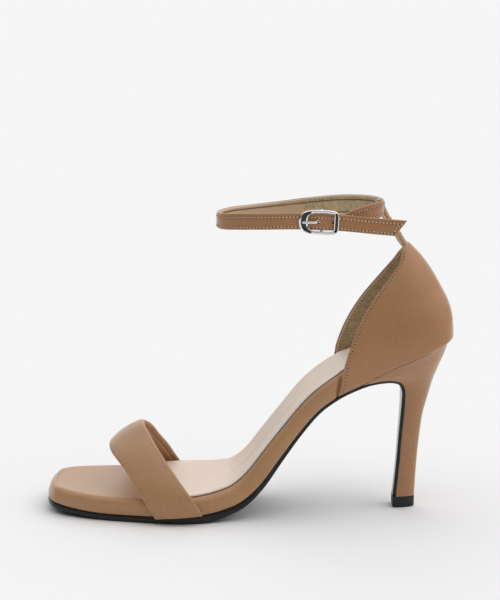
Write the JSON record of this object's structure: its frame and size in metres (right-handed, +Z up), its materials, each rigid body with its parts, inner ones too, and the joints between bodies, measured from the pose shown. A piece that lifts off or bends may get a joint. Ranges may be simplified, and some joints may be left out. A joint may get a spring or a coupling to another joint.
{
  "type": "heeled sandal",
  "caption": "Left high-heeled sandal with a padded toe band, closed heel quarter, slim heel and a buckled ankle strap.",
  "frame": {"origin": "centre of the heel tip's ground face", "axes": "+X from toe to heel, -Y to the outer side of the foot, +Z up"},
  "size_m": [0.2094, 0.0833, 0.1636],
  "materials": {
    "black_sole": "smooth, slightly glossy",
    "tan_wrap": "smooth tan leather with a soft sheen",
    "pale_sock": "smooth pale leather",
    "tan_band": "smooth tan leather with a soft sheen",
    "tan_upper": "smooth tan leather with a soft sheen, suede inside",
    "heel_cover": "smooth tan leather, tightly wrapped",
    "heel_tip": "satin, hard",
    "buckle_metal": "polished",
    "prong_metal": "polished"
  },
  "bodies": {
    "root": {"outsole": "black_sole", "footbed": "tan_wrap", "sock": "pale_sock", "toe_band": "tan_band", "heel_upper": "tan_upper", "heel": "heel_cover", "top_piece": "heel_tip", "buckle_frame": "buckle_metal", "buckle_prong": "prong_metal"}
  },
  "joints": []
}
